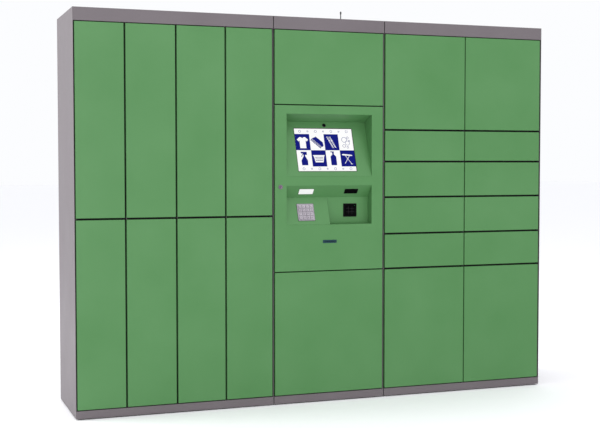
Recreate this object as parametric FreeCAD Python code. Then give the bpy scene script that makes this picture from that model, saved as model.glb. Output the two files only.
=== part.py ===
import FreeCAD, Part
import math
import os

# Bank of three parcel locker modules: four columns of tall garment compartments, a terminal
# module between two large compartments, and two columns of parcel compartments.
# Millimetres. +X to the right seen from the front, +Y to the back, +Z up.
# The origin is on the floor, under the middle of the bank. The front faces -Y.

V = FreeCAD.Vector

# ---- driving dimensions ----
height = 2000.0            # floor to roof
depth = 524.0
module_widths = (1015.0, 619.0, 956.0)
wall = 1.5                 # outer sheet and doors
sheet = 1.2                # dividers, shelves and back panels
foot_gap = 6.0             # skirts and side walls stay this far above the floor
inner_setback = 10.0       # where two modules meet, their walls end this far behind the front
plinth_top = 44.0
fascia_bottom = 1936.0
seam = 0.5                 # between a fascia or plinth strip and the wall beside it
lip_width = 20.0           # lip of a fascia or plinth strip, against the ceiling or floor panel

column_gap = 8.5           # between garment doors side by side
row_gap = 9.5              # between garment or parcel doors one above the other
narrow_gap = 5.5           # between the middle module's rows, and between the parcel columns
wall_gap = 5.8             # door to module wall
end_gap = 4.0              # door to floor panel or ceiling panel

reveal = 1.5               # door face behind the front edge of the walls
door_depth = 18.0
door_lip = 20.0            # return lip round the back of a door
bend = 2.0                 # outer bend radius of a door
stop_gap = 6.0             # back of a door to the face frame
overlap = 6.5              # how far the face frame reaches behind a door's edge
frame_depth = 25.0         # posts and rails of the face frame

pin_inset = 8.0            # hinge axis from the door's edge and from its face
pin_radius = 3.0
pin_play = 0.1
pin_reach = 6.0            # how far a pin reaches into a door
collar_radius = 5.5
tab_half_width = 10.0
leaf = 2.0                 # hinge bracket's upright leaf

lock_size = (14.0, 70.0, 76.0)
lock_mouth = (7.0, 28.0, 28.0)
lock_cheek = 3.0
tongue = (3.0, 25.0, 20.0)

# centres of the gaps between doors: columns from the module's left edge, rows from the floor
garment_columns = (250.5, 506.0, 760.5)
parcel_columns = (481.5,)
garment_rows = (978.5,)
terminal_rows = (688.0, 1551.0)
parcel_rows = (688.5, 874.5, 1069.5, 1259.0, 1427.0)

rail_radius = 12.5
rail_drop = 70.0           # hanging rail's axis below its ceiling or shelf
rail_flange = 5.0
rail_flange_radius = 22.0

# terminal: places from the panel's middle, heights from the floor
recess_half_width = 238.5
screen_recess = (1180.0, 1468.0, 1505.0, 100.0)    # foot, back edge, top edge, depth
keypad_recess = (930.0, 1071.0, 1135.0, 54.0)
pocket_left = 2.5
pocket_floor_rise = 6.0
screen_size = (330.0, 241.0)
screen_centre = (-5.5, 1321.0)
camera_at = (3.0, 1450.0)
camera_radius = 8.0
keypad_size = 92.0
keypad_centre = (-124.5, 995.0)
key_pitch = 20.5
key_size = 16.0
key_play = 0.4
key_travel = 1.5
lamp_size = (79.0, 34.0)
lamp_x = -122.0
scanner_size = (74.0, 30.0)
scanner_x = 131.0
window_height = 1103.0
reader_size = (74.0, 68.0)
reader_centre = (135.5, 1002.0)
slot_size = (76.0, 12.0)
slot_centre = (0.0, 842.0)
cam_lock_at = (-272.0, 1128.0)
barrel_radius = 9.5
plug_radius = 6.5
cam_reach = 20.5           # from the plug's axis to the cam's tip

antenna_at = (118.0, -190.0)

rear_setback = 4.0         # back panels' outer face, in front of the walls' back edges
fixing_height = 1965.0     # wall fixing holes and cable entry, in the back panels
fixing_spacing = 360.0
fixing_radius = 5.0
entry_radius = 16.0
foot_inset = (60.0, 62.0)  # feet from the sides and from the front and back of each module
stiffener_half = 30.0      # half a hat channel's width, its brims included
stiffener_brim = 10.0
control_size = (320.0, 85.0, 240.0)
control_bottom = 980.0
key_top = 4.5              # above the recess, where the keypad's plate is 2.5
key_foot = -9.5

# ---- places worked out from them ----
width = sum(module_widths)
front = -depth / 2
back = depth / 2
door_face = front + reveal
door_back = door_face + door_depth
frame_front = door_back + stop_gap
frame_back = frame_front + frame_depth
panel_back = back - rear_setback
panel_front = panel_back - sheet
pin_y = door_face + pin_inset
doors_bottom = plinth_top + end_gap
doors_top = fascia_bottom - end_gap

module_left = [-width / 2 + sum(module_widths[:i]) for i in range(3)]
module_right = [x + w for x, w in zip(module_left, module_widths)]
terminal_x = (module_left[1] + module_right[1]) / 2


def box(x0, x1, y0, y1, z0, z1):
    return Part.makeBox(x1 - x0, y1 - y0, z1 - z0, V(x0, y0, z0))


def rod(x, y, z0, z1, radius):
    return Part.makeCylinder(radius, z1 - z0, V(x, y, z0))


def write(name, solids):
    """One STEP file, with each solid in it separate."""
    for solid in solids:
        if not solid.isValid() or len(solid.Solids) != 1:
            raise ValueError(f"{name} holds a bad solid")
    singles = [solid.Solids[0] for solid in solids]
    shape = singles[0] if len(singles) == 1 else Part.makeCompound(singles)
    shape.exportStep(f"parts/{name}.step")


# ---- the grid of doors ----
def columns(module, centres, gap):
    """(left edge, right edge) of each door column."""
    edge = module_left[module]
    lefts = [edge + wall + wall_gap] + [edge + x + gap / 2 for x in centres]
    rights = [edge + x - gap / 2 for x in centres] + [module_right[module] - wall - wall_gap]
    return list(zip(lefts, rights))


def rows(centres, gap):
    """(lower edge, upper edge) of each door row, from the bottom up."""
    lows = [doors_bottom] + [z + gap / 2 for z in centres]
    highs = [z - gap / 2 for z in centres] + [doors_top]
    return list(zip(lows, highs))


class Module:
    def __init__(self, index, column_centres, door_gap, row_centres, shelf_gap):
        self.left = module_left[index]
        self.right = module_right[index]
        self.inner = (self.left + wall, self.right - wall)
        self.columns = columns(index, column_centres, door_gap)
        self.rows = rows(row_centres, shelf_gap)
        self.row_gap = shelf_gap
        self.row_centres = row_centres


garment = Module(0, garment_columns, column_gap, garment_rows, row_gap)
terminal = Module(1, (), narrow_gap, terminal_rows, narrow_gap)
parcel = Module(2, parcel_columns, narrow_gap, parcel_rows, row_gap)
modules = (garment, terminal, parcel)


# ---- carcasses ----
def pin_places(module):
    return [right - pin_inset for _, right in module.columns]


def drilled(panel, module, z0, z1):
    """A floor or ceiling panel with its hinge pin holes."""
    for x in pin_places(module):
        panel = panel.cut(rod(x, pin_y, z0 - 1, z1 + 1, pin_radius + 0.05))
    return panel


def wall_fixings(module):
    """Two wall fixing holes near the top of the back panel."""
    middle = (module.left + module.right) / 2
    places = [middle + side * fixing_spacing / 2 for side in (-1, 1)]
    return [Part.makeCylinder(fixing_radius, 10.0, V(x, panel_front - 3, fixing_height), V(0, 1, 0)) for x in places]


def carcass(module, cable_entry=False):
    left, right = module.inner
    walls = []
    for x0, x1, outermost in ((module.left, left, -width / 2), (right, module.right, width / 2)):
        setback = 0 if outermost in (x0, x1) else inner_setback
        walls.append(box(x0, x1, front + setback, back, foot_gap, height))
    floor = drilled(box(left, right, front, panel_front, plinth_top - wall, plinth_top),
                    module, plinth_top - wall, plinth_top)
    ceiling = drilled(box(left, right, front, panel_front, fascia_bottom, fascia_bottom + wall),
                      module, fascia_bottom, fascia_bottom + wall)
    rear = box(left, right, panel_front, panel_back, plinth_top - wall, height - wall)
    for hole in wall_fixings(module):
        rear = rear.cut(hole)
    if cable_entry:
        at = V(terminal_x, panel_front - 3, fixing_height)
        rear = rear.cut(Part.makeCylinder(entry_radius, 10.0, at, V(0, 1, 0)))
    return walls + [floor, ceiling, rear]


def pin_head_holes(shape, module):
    """Room in a lip for the heads of the end pins."""
    lips = ((plinth_top - 2 * wall, plinth_top - wall), (fascia_bottom + wall, fascia_bottom + 2 * wall))
    for x in pin_places(module):
        for z0, z1 in lips:
            shape = shape.cut(rod(x, pin_y, z0 - 0.5, z1 + 0.5, collar_radius + 1.0))
    return shape


def fascia(module):
    """Roof sheet and front strip, folded from one piece, with a lip along the strip's foot."""
    left, right = module.inner[0] + seam, module.inner[1] - seam
    foot = fascia_bottom + wall
    outer = box(left, right, front, panel_front, foot, height)
    edge = [e for e in outer.Edges
            if all(abs(v.Y - front) < 0.01 and abs(v.Z - height) < 0.01 for v in e.Vertexes)]
    outer = outer.makeFillet(bend, edge)
    inside = box(left - 1, right + 1, front + wall, panel_front + 1, foot + wall, height - wall)
    below = box(left - 1, right + 1, front + lip_width, panel_front + 1, foot - 1, foot + wall + 1)
    return pin_head_holes(outer.cut(inside).cut(below), module)


def plinth(module):
    """Front and rear skirts, each with a lip under the floor panel."""
    left, right = module.inner[0] + seam, module.inner[1] - seam
    top = plinth_top - wall
    skirts = []
    for y0, direction in ((front, 1), (panel_back, -1)):
        skirt = sorted((y0, y0 + direction * wall))
        lip = sorted((y0, y0 + direction * lip_width))
        shape = box(left, right, *skirt, foot_gap, top).fuse(box(left, right, *lip, top - wall, top))
        skirts.append(pin_head_holes(shape.removeSplitter(), module))
    return skirts


def levelling_foot(x, y):
    pad = Part.makeCone(21.0, 19.0, 6.0, V(x, y, 0))
    neck = rod(x, y, 6.0, 10.0, 8.0)
    stud = rod(x, y, 10.0, plinth_top - wall, 5.0)
    nut_ring = Part.makePolygon([
        V(x + 9.8 * math.cos(math.radians(60 * i)), y + 9.8 * math.sin(math.radians(60 * i)), 32.0)
        for i in range(7)
    ])
    nut = Part.Face(nut_ring).extrude(V(0, 0, plinth_top - wall - 32.0))
    return pad.fuse([neck, stud, nut]).removeSplitter()


def feet():
    return [
        levelling_foot(x, y)
        for module in modules
        for x in (module.left + foot_inset[0], module.right - foot_inset[0])
        for y in (front + foot_inset[1], back - foot_inset[1])
    ]


# ---- face frame, dividers and shelves ----
def post(x0, x1):
    outer = box(x0, x1, frame_front, frame_back, plinth_top, fascia_bottom)
    inner = box(x0 + sheet, x1 - sheet, frame_front + sheet, frame_back + 1, plinth_top - 1, fascia_bottom + 1)
    return outer.cut(inner)


def dividers(module):
    posts = [post(module.inner[0], module.columns[0][0] + overlap),
             post(module.columns[-1][1] - overlap, module.inner[1])]
    panels = []
    for (_, left_door), (right_door, _) in zip(module.columns, module.columns[1:]):
        middle = (left_door + right_door) / 2
        posts.append(post(left_door - overlap, right_door + overlap))
        panels.append(box(middle - sheet / 2, middle + sheet / 2, frame_back, panel_front,
                          plinth_top, fascia_bottom))
    return posts + panels


def rail(x0, x1, z0, z1):
    """One horizontal member of the face frame, open at the back."""
    outer = box(x0, x1, frame_front, frame_back, z0, z1)
    inner = box(x0 - 1, x1 + 1, frame_front + sheet, frame_back + 1, z0 + sheet, z1 - sheet)
    return outer.cut(inner)


def bays(module):
    """For each column, the clear width between posts and between divider panels."""
    middles = [(a[1] + b[0]) / 2 for a, b in zip(module.columns, module.columns[1:])]
    panel_edges = [module.inner[0]] + [m + s * sheet / 2 for m in middles for s in (-1, 1)] + [module.inner[1]]
    return [
        ((x0 + overlap, x1 - overlap), (panel_edges[2 * i], panel_edges[2 * i + 1]))
        for i, (x0, x1) in enumerate(module.columns)
    ]


def shelves(module):
    solids = []
    reach = module.row_gap / 2 + overlap
    for clear, bay in bays(module):
        solids.append(rail(*clear, plinth_top, doors_bottom + overlap))
        solids.append(rail(*clear, doors_top - overlap, fascia_bottom))
        for z in module.row_centres:
            solids.append(rail(*clear, z - reach, z + reach))
            solids.append(box(*bay, frame_back, panel_front, z + reach - sheet, z + reach))
    return solids


def hanging_rails():
    solids = []
    reach = garment.row_gap / 2 + overlap
    ceilings = (garment_rows[0] + reach - sheet, fascia_bottom)
    for _, (x0, x1) in bays(garment):
        for ceiling in ceilings:
            at = V(x0, 0, ceiling - rail_drop)
            inner = at + V(rail_flange, 0, 0)
            span = x1 - x0 - 2 * rail_flange
            tube = Part.makeCylinder(rail_radius, span, inner, V(1, 0, 0))
            solids.append(tube.cut(Part.makeCylinder(rail_radius - wall, span, inner, V(1, 0, 0))))
            for x in (x0, x1 - rail_flange):
                solids.append(Part.makeCylinder(rail_flange_radius, rail_flange, V(x, 0, at.z), V(1, 0, 0)))
    return solids


# ---- hinges and locks ----
def hinge_at_gap(x, z, gap):
    """Bracket on the face frame, and the shouldered pin that carries the doors above and below."""
    tab = 3.0 if gap > 6 else 2.0
    plate = box(x - tab_half_width, x + tab_half_width - 1, pin_y - 6.5, frame_front, z - tab / 2, z + tab / 2)
    upright = box(x - tab_half_width, x + tab_half_width - 1, frame_front - leaf, frame_front,
                  z - gap / 2 - overlap + 0.5, z + tab / 2)
    bracket = plate.fuse(upright).removeSplitter().cut(rod(x, pin_y, z - 3, z + 3, pin_radius + 0.05))
    pin = rod(x, pin_y, z - gap / 2 - pin_reach, z + gap / 2 + pin_reach, pin_radius)
    collar = gap / 2 - tab / 2 - 0.2
    for low in (z - tab / 2 - collar, z + tab / 2):
        pin = pin.fuse(rod(x, pin_y, low, low + collar, collar_radius))
    return [bracket, pin.removeSplitter()]


def hinge_at_end(x, z, inward):
    """Pin through the floor panel (inward +1) or the ceiling panel (inward -1)."""
    head = z - inward * wall
    spans = (
        (pin_radius, head - inward * 2.0, z + inward * (end_gap + pin_reach)),
        (collar_radius, head - inward * 2.0, head),
        (collar_radius, z, z + inward * (end_gap - 0.3)),
    )
    pin = None
    for radius, a, b in spans:
        piece = rod(x, pin_y, min(a, b), max(a, b), radius)
        pin = piece if pin is None else pin.fuse(piece)
    return pin.removeSplitter()


def hinges():
    solids = []
    for module in modules:
        for x in pin_places(module):
            solids.append(hinge_at_end(x, plinth_top, 1))
            solids.append(hinge_at_end(x, fascia_bottom, -1))
            for z in module.row_centres:
                solids += hinge_at_gap(x, z, module.row_gap)
    return solids


def lock_body(x, z):
    """Electric lock beside the post, with its mouth to the front. x is its left face."""
    body = box(x, x + lock_size[0], frame_front, frame_front + lock_size[1],
               z - lock_size[2] / 2, z + lock_size[2] / 2)
    mouth = box(x + lock_cheek, x + lock_cheek + lock_mouth[0], frame_front - 1,
                frame_front + lock_mouth[1], z - lock_mouth[2] / 2, z + lock_mouth[2] / 2)
    return body.cut(mouth)


def keeper():
    """Plate on the left post that the terminal's cam turns behind, and its foot."""
    x = terminal.columns[0][0] + overlap
    z = cam_lock_at[1]
    plate = box(x, x + 12.0, frame_front, frame_front + 2.0, z - 16.0, z + 16.0)
    foot = box(x, x + 2.0, frame_front + 2.0, frame_back, z - 16.0, z + 16.0)
    return [plate, foot]


def has_terminal(module, row):
    return module is terminal and row == 1


def locks():
    solids = keeper()
    for module in modules:
        for x0, _ in module.columns:
            for row, (z0, z1) in enumerate(module.rows):
                if not has_terminal(module, row):
                    solids.append(lock_body(x0 + overlap, (z0 + z1) / 2))
    return solids


# ---- doors ----
def pan(x0, x1, z0, z1):
    """Folded door skin: rounded face, four flanges, a return lip, and a pin hole at top and bottom."""
    outer = box(x0, x1, door_face, door_back, z0, z1)
    rounded = [e for e in outer.Edges if not all(abs(v.Y - door_back) < 0.01 for v in e.Vertexes)]
    outer = outer.makeFillet(bend, rounded)
    inside = box(x0 + wall, x1 - wall, door_face + wall, door_back - wall, z0 + wall, z1 - wall)
    mouth = box(x0 + door_lip, x1 - door_lip, door_back - wall - 1, door_back + 1, z0 + door_lip, z1 - door_lip)
    holes = rod(x1 - pin_inset, pin_y, z0 - 1, z1 + 1, pin_radius + pin_play)
    return outer.cut(inside).cut(mouth).cut(holes)


def stiffener(x0, x1, z0, z1, upright):
    """Hat channel welded to the inside of the skin."""
    foot = door_face + wall
    rise = door_depth - 2 * wall - 1.0
    length = (z0, z1) if upright else (x0, x1)
    across = (x0, x1) if upright else (z0, z1)
    a, b = across
    brim = stiffener_brim
    outline = [(a, 0), (a + brim, 0), (a + brim, rise - sheet), (b - brim, rise - sheet), (b - brim, 0), (b, 0),
               (b, sheet), (b - brim + sheet, sheet), (b - brim + sheet, rise), (a + brim - sheet, rise),
               (a + brim - sheet, sheet), (a, sheet)]
    if upright:
        points = [V(p, foot + q, length[0]) for p, q in outline]
        along = V(0, 0, length[1] - length[0])
    else:
        points = [V(length[0], foot + q, p) for p, q in outline]
        along = V(length[1] - length[0], 0, 0)
    return Part.Face(Part.makePolygon(points + points[:1])).extrude(along)


def striker(x0, z):
    """Base on the door's return lip, with a pierced tongue that enters the lock."""
    x = x0 + overlap + lock_cheek + lock_mouth[0] - 1.0 - tongue[0]
    base = box(x0 + 3.0, x0 + door_lip, door_back, door_back + 2.0, z - 17.0, z + 17.0)
    blade = box(x, x + tongue[0], door_back, door_back + tongue[1], z - tongue[2] / 2, z + tongue[2] / 2)
    eye = Part.makeCylinder(4.5, 20.0, V(x - 5, door_back + 17.0, z), V(1, 0, 0))
    return base.fuse(blade).removeSplitter().cut(eye)


def door(x0, x1, z0, z1):
    wide, tall = x1 - x0, z1 - z0
    middle_x, middle_z = (x0 + x1) / 2, (z0 + z1) / 2
    solids = [pan(x0, x1, z0, z1), striker(x0, middle_z)]
    margin = door_lip + 8.0
    if tall > wide:
        places = [middle_x] if wide < 300 else [middle_x - wide / 5, middle_x + wide / 5]
        solids += [stiffener(x - stiffener_half, x + stiffener_half, z0 + margin, z1 - margin, True)
                   for x in places]
    else:
        places = [middle_z] if tall < 300 else [middle_z - tall / 5, middle_z + tall / 5]
        solids += [stiffener(x0 + margin, x1 - margin, z - stiffener_half, z + stiffener_half, False)
                   for z in places]
    return solids


def all_doors():
    named = {}
    for column, (x0, x1) in enumerate(garment.columns, 1):
        for row, (z0, z1) in zip(("lower", "upper"), garment.rows):
            named[f"garment_door_{row}_{column}"] = door(x0, x1, z0, z1)
    x0, x1 = terminal.columns[0]
    for name, row in (("lower", 0), ("upper", 2)):
        named[f"large_door_{name}"] = door(x0, x1, *terminal.rows[row])
    for side, (x0, x1) in zip(("left", "right"), parcel.columns):
        for row, (z0, z1) in enumerate(parcel.rows, 1):
            named[f"parcel_door_{side}_{row}"] = door(x0, x1, z0, z1)
    return named


# ---- terminal panel and what it carries ----
def frame_at(x, distance, z, up):
    """Placement of a device: local X along X, local Y along up, local Z out towards the user."""
    along = V(1, 0, 0)
    up = V(0, *up).normalize()
    turn = FreeCAD.Rotation(along, up, along.cross(up), "XYZ")
    return FreeCAD.Placement(V(terminal_x + x, door_face + distance, z), turn)


def screen_frame(x, z):
    foot, edge, _, deep = screen_recess
    return frame_at(x, (z - foot) / (edge - foot) * deep, z, (deep, edge - foot))


def keypad_frame(x, z):
    foot, edge, _, deep = keypad_recess
    return frame_at(x, (z - foot) / (edge - foot) * deep, z, (deep, edge - foot))


def hood_frame(x, z):
    """On the sloping hood over the keypad and the pocket."""
    _, edge, top, deep = keypad_recess
    return frame_at(x, (top - z) / (top - edge) * deep, z, (-deep, top - edge))


def pocket_frame(x, z):
    return frame_at(x, keypad_recess[3], z, (0, 1))


def block(w, h, z0, z1, x=0.0, y=0.0):
    """A block in a device's own frame, centred on x and y."""
    return Part.makeBox(w, h, z1 - z0, V(x - w / 2, y - h / 2, z0))


def rounded_block(w, h, z0, z1, radius, x=0.0, y=0.0):
    shape = block(w, h, z0, z1, x, y)
    corners = [e for e in shape.Edges if abs(e.Vertexes[0].Z - e.Vertexes[1].Z) > 0.01]
    return shape.makeFillet(radius, corners)


def disc(radius, z0, z1, x=0.0, y=0.0):
    return Part.makeCylinder(radius, z1 - z0, V(x, y, z0))


def put(shape, place):
    moved = shape.copy()
    moved.Placement = place.multiply(moved.Placement)
    return moved


def prism(outline, x0, x1):
    """outline holds (distance behind the panel's face, height) points."""
    points = [V(terminal_x + x0, door_face + d, z) for d, z in outline]
    return Part.Face(Part.makePolygon(points + points[:1])).extrude(V(x1 - x0, 0, 0))


def grown(outline, by):
    """The outline, counter-clockwise seen with distance to the right, with each side moved out."""
    sides = []
    for (d0, z0), (d1, z1) in zip(outline, outline[1:] + outline[:1]):
        long = math.hypot(d1 - d0, z1 - z0)
        nd, nz = (z1 - z0) / long, -(d1 - d0) / long
        sides.append((nd, nz, nd * d0 + nz * z0 + by))
    corners = []
    for (a, b, c), (p, q, r) in zip(sides[-1:] + sides[:-1], sides):
        det = a * q - b * p
        corners.append(((c * q - b * r) / det, (a * r - c * p) / det))
    return corners


def wedge_outline(recess):
    foot, edge, top, deep = recess
    return [(0, foot), (deep, edge), (0, top)]


def pocket_outline():
    foot, edge, top, deep = keypad_recess
    return [(0, foot), (deep, foot + pocket_floor_rise), (deep, edge), (0, top)]


def tray(parts, inners):
    """Sheet metal recess: grown prisms less the space inside, behind the panel's skin."""
    shape = parts[0].fuse(parts[1:]) if len(parts) > 1 else parts[0]
    for inner in inners:
        shape = shape.cut(inner)
    half = recess_half_width + 50
    ahead = box(terminal_x - half, terminal_x + half, front - 100, door_face + wall, 0, height)
    return shape.cut(ahead).removeSplitter()


def screen_tray():
    outline = wedge_outline(screen_recess)
    half = recess_half_width
    shape = tray([prism(grown(outline, wall), -half - wall, half + wall)], [prism(outline, -half, half)])
    window = put(block(*screen_size, -10, 10), screen_frame(*screen_centre))
    lens = put(disc(camera_radius + 0.5, -10, 10), screen_frame(*camera_at))
    return shape.cut(window).cut(lens)


def keypad_tray():
    wedge, pocket = wedge_outline(keypad_recess), pocket_outline()
    half = recess_half_width
    shape = tray(
        [prism(grown(wedge, wall), -half - wall, pocket_left),
         prism(grown(pocket, wall), pocket_left - wall, half + wall)],
        [prism(wedge, -half, pocket_left), prism(pocket, pocket_left, half)],
    )
    cuts = [
        put(block(keypad_size - 7, keypad_size - 7, -10, 10), keypad_frame(*keypad_centre)),
        put(block(lamp_size[0] - 4, lamp_size[1] - 4, -10, 10), hood_frame(lamp_x, window_height)),
        put(block(scanner_size[0] - 4, scanner_size[1] - 4, -10, 10), hood_frame(scanner_x, window_height)),
        put(block(reader_size[0] - 8, reader_size[1] - 8, -10, 10), pocket_frame(*reader_centre)),
    ]
    for tool in cuts:
        shape = shape.cut(tool)
    return shape


def terminal_panel():
    x0, x1 = terminal.columns[0]
    face = pan(x0, x1, *terminal.rows[1])
    half = recess_half_width
    for foot, _, top, _ in (screen_recess, keypad_recess):
        face = face.cut(box(terminal_x - half, terminal_x + half, front - 1, door_back + 1, foot, top))
    slot_x, slot_z = terminal_x + slot_centre[0], slot_centre[1]
    face = face.cut(box(slot_x - slot_size[0] / 2, slot_x + slot_size[0] / 2, front - 1, door_face + 5,
                        slot_z - slot_size[1] / 2, slot_z + slot_size[1] / 2))
    lock = frame_at(cam_lock_at[0], 0, cam_lock_at[1], (0, 1))
    face = face.cut(put(disc(barrel_radius, -10.0, 5.0), lock))
    barrel = disc(barrel_radius, -24.0, 0.0).fuse([disc(barrel_radius + 1.5, 0.0, 1.0)])
    barrel = barrel.cut(disc(plug_radius + 0.1, -25.0, 5.0)).removeSplitter()
    nut = disc(13.0, -6.0, -wall).cut(disc(barrel_radius, -7.0, 0.0))
    return [face, screen_tray(), keypad_tray(), put(barrel, lock), put(nut, lock)]


def touch_screen():
    glass = block(screen_size[0] + 12, screen_size[1] + 12, -5.0, -wall)
    housing = rounded_block(screen_size[0] + 8, screen_size[1] + 8, -36.0, -5.0, 4.0)
    return [put(s, screen_frame(*screen_centre)) for s in (glass, housing)]


def camera():
    lens = disc(camera_radius, -wall, 1.5).fuse(disc(camera_radius + 1.5, -18.0, -wall)).removeSplitter()
    return [put(lens.cut(disc(camera_radius - 3.5, 0.0, 5.0)), screen_frame(*camera_at))]


def key_grid():
    """(column, row, x, y) of each key in the keypad's own frame, top row first."""
    steps = [(i - 1.5) * key_pitch for i in range(4)]
    return [(c, r, steps[c], -steps[r]) for r in range(4) for c in range(4)]


def keypad_body():
    plate = rounded_block(keypad_size, keypad_size, 0.0, 2.5, 4.0)
    body = plate.fuse(block(keypad_size - 8, keypad_size - 8, -22.0, 0.0)).removeSplitter()
    hole = key_size + 2 * key_play
    for _, _, x, y in key_grid():
        body = body.cut(rounded_block(hole, hole, key_foot - key_travel - 1.0, 3.0, 2.4, x, y))
    return [put(body, keypad_frame(*keypad_centre))]


def key(x, y):
    cap = rounded_block(key_size, key_size, key_foot, key_top, 2.0, x, y)
    rim = [e for e in cap.Edges if all(abs(v.Z - key_top) < 0.01 for v in e.Vertexes)]
    return put(cap.makeFillet(0.8, rim), keypad_frame(*keypad_centre))


def keys():
    names = ("1", "2", "3", "a", "4", "5", "6", "b", "7", "8", "9", "c", "star", "0", "hash", "d")
    return {f"key_{name}": [key(x, y)] for name, (_, _, x, y) in zip(names, key_grid())}


def hood_device(size, x, body_depth):
    """A window let into the hood, with its body behind."""
    w, h = size
    window = rounded_block(w, h, 0.0, 1.2, 2.0).fuse(block(w - 5, h - 5, -body_depth, 0.0)).removeSplitter()
    return [put(window, hood_frame(x, window_height))]


def card_reader():
    w, h = reader_size
    cover = rounded_block(w, h, 0.0, 5.0, 5.0)
    rim = [e for e in cover.Edges if all(abs(v.Z - 5.0) < 0.01 for v in e.Vertexes)]
    cover = cover.makeFillet(1.2, rim)
    return [put(cover.fuse(block(w - 9, h - 9, -16.0, 0.0)).removeSplitter(), pocket_frame(*reader_centre))]


def receipt_printer():
    """Nose in the panel's slot with a paper mouth, and the mechanism behind it."""
    at = frame_at(slot_centre[0], 0, slot_centre[1], (0, 1))
    nose = block(slot_size[0] - 1, slot_size[1] - 1, -20.0, -0.6)
    nose = nose.cut(block(60.0, 3.0, -12.0, 5.0))
    flange = block(slot_size[0] + 14, slot_size[1] + 14, -3.5, -wall).cut(block(60.0, 3.0, -12.0, 5.0))
    body = block(104.0, 96.0, -110.0, -20.0, 0.0, 22.0)
    return [put(nose.fuse([flange, body]).removeSplitter(), at)]


def cam_lock():
    """Turning plug with its cam hanging down, which is the open position."""
    at = frame_at(cam_lock_at[0], 0, cam_lock_at[1], (0, 1))
    cam_face = -(frame_front + 3.0 - door_face)
    plug = disc(plug_radius, cam_face, 1.2)
    keyway = block(1.6, 8.0, -6.0, 5.0)
    cam = rounded_block(15.0, cam_reach + 8.0, cam_face - 2.5, cam_face, 7.0, 0.0, (8.0 - cam_reach) / 2)
    screw = disc(5.0, cam_face - 7.0, cam_face - 2.5)
    return [put(plug.cut(keyway), at), put(cam, at), put(screw, at)]


# ---- other pieces ----
def control_unit():
    """Terminal computer and lock controller in one vented case on the back panel."""
    wide, deep, tall = control_size
    x0, x1 = terminal_x - wide / 2, terminal_x + wide / 2
    z0, z1 = control_bottom, control_bottom + tall
    case = box(x0, x1, panel_front - deep, panel_front, z0, z1)
    ears = [box(a, b, panel_front - 3, panel_front, z0 + 20, z1 - 20) for a, b in ((x0 - 22, x0), (x1, x1 + 22))]
    return [case.fuse(ears).removeSplitter()]


def roof_antenna():
    x, y = antenna_at[0], antenna_at[1]
    base = Part.makeCone(15.0, 12.0, 7.0, V(x, y, height))
    neck = rod(x, y, height + 7.0, height + 34.0, 2.6)
    head = rod(x, y, height + 34.0, height + 44.0, 4.2)
    tip = Part.makeSphere(4.2, V(x, y, height + 44.0))
    return [base.fuse([neck, head, tip]).removeSplitter()]


def main():
    os.makedirs("parts", exist_ok=True)
    for old in os.listdir("parts"):
        os.remove(os.path.join("parts", old))
    nodes = {
        "garment_carcass": carcass(garment),
        "terminal_carcass": carcass(terminal, cable_entry=True),
        "parcel_carcass": carcass(parcel),
        "dividers": [s for m in modules for s in dividers(m)],
        "shelves": [s for m in modules for s in shelves(m)],
        "top_fascias": [fascia(m) for m in modules],
        "plinths": [s for m in modules for s in plinth(m)],
        "levelling_feet": feet(),
        "hanging_rails": hanging_rails(),
        "door_hinges": hinges(),
        "door_locks": locks(),
        "terminal_panel": terminal_panel(),
        "touch_screen": touch_screen(),
        "camera": camera(),
        "keypad_body": keypad_body(),
        "keypad_lamp": hood_device(lamp_size, lamp_x, 14.0),
        "code_scanner": hood_device(scanner_size, scanner_x, 38.0),
        "card_reader": card_reader(),
        "receipt_printer": receipt_printer(),
        "cam_lock": cam_lock(),
        "control_unit": control_unit(),
        "roof_antenna": roof_antenna(),
    }
    nodes.update(all_doors())
    nodes.update(keys())
    for name, solids in nodes.items():
        write(name, solids)
    print(len(nodes), "nodes,", sum(len(s) for s in nodes.values()), "solids")


main()
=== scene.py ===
import math

import bmesh
import bpy
from mathutils import Matrix, Vector


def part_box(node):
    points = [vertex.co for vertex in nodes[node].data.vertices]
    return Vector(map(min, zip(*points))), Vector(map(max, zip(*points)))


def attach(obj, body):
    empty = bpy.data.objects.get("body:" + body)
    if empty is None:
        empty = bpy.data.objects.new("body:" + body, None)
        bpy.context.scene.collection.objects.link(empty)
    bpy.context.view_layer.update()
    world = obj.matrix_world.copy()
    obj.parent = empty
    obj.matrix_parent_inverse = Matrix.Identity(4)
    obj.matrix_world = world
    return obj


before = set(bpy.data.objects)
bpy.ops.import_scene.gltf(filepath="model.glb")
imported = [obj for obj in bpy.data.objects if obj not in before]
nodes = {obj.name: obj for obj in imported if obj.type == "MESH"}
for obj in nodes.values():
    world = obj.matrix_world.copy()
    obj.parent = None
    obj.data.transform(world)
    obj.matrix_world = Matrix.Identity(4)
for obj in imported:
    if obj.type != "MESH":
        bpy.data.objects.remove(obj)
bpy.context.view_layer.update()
mm = 0.001
print("frame loaded:", len(nodes), "nodes")


# ---- material helpers ----
def linear(hexColour):
    channels = [int(hexColour[i:i + 2], 16) / 255 for i in (1, 3, 5)]
    return tuple(c / 12.92 if c <= 0.04045 else ((c + 0.055) / 1.055) ** 2.4 for c in channels) + (1.0,)


def addNode(tree, kind, sockets, **settings):
    node = tree.nodes.new("ShaderNode" + kind)
    for name, value in settings.items():
        setattr(node, name, value)
    for socket, value in sockets.items():
        if isinstance(value, bpy.types.NodeSocket):
            tree.links.new(value, node.inputs[socket])
        else:
            node.inputs[socket].default_value = value
    return node


def newMaterial(name, **constants):
    material = bpy.data.materials.new(name)
    material.use_nodes = True
    tree = material.node_tree
    shader = tree.nodes["Principled BSDF"]
    for socket, value in constants.items():
        shader.inputs[socket.replace("_", " ")].default_value = value
    place = addNode(tree, "TexCoord", {}).outputs["Object"]
    return material, tree, shader, place


def perMetre(spacing):
    # a noise node's scale for features this many millimetres apart
    return 1.0 / (spacing * mm)


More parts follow.
